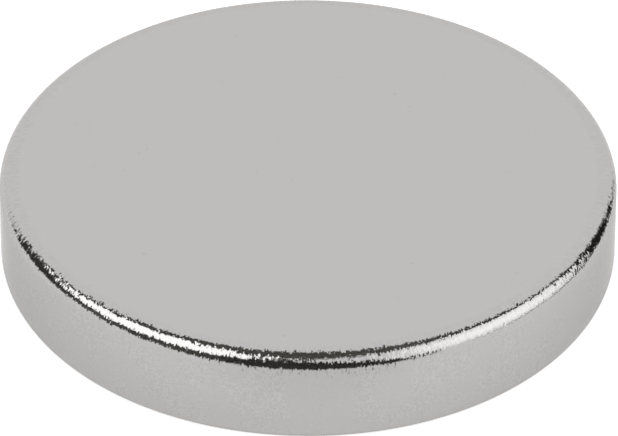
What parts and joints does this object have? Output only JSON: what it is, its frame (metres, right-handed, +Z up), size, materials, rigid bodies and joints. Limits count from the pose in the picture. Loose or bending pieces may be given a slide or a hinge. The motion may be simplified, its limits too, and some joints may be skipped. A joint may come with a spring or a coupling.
{
  "type": "disc magnet",
  "caption": "Flat round disc magnet, one solid piece with two flat pole faces, a straight rim and rolled edges, bright nickel plated.",
  "frame": {"origin": "centre of the lower pole face, on the surface that the magnet rests on", "axes": "+Z up the disc's axis, out of the upper pole face; +X and +Y in the plane of the lower pole face, alike all round"},
  "size_m": [0.03, 0.03, 0.005],
  "materials": {
    "nickel_plating": "bright nickel plating over a tumbled blank: mirror-like, with a very fine ripple that shows at the rolled edges"
  },
  "bodies": {
    "root": {"disc_magnet": "nickel_plating"}
  },
  "joints": []
}
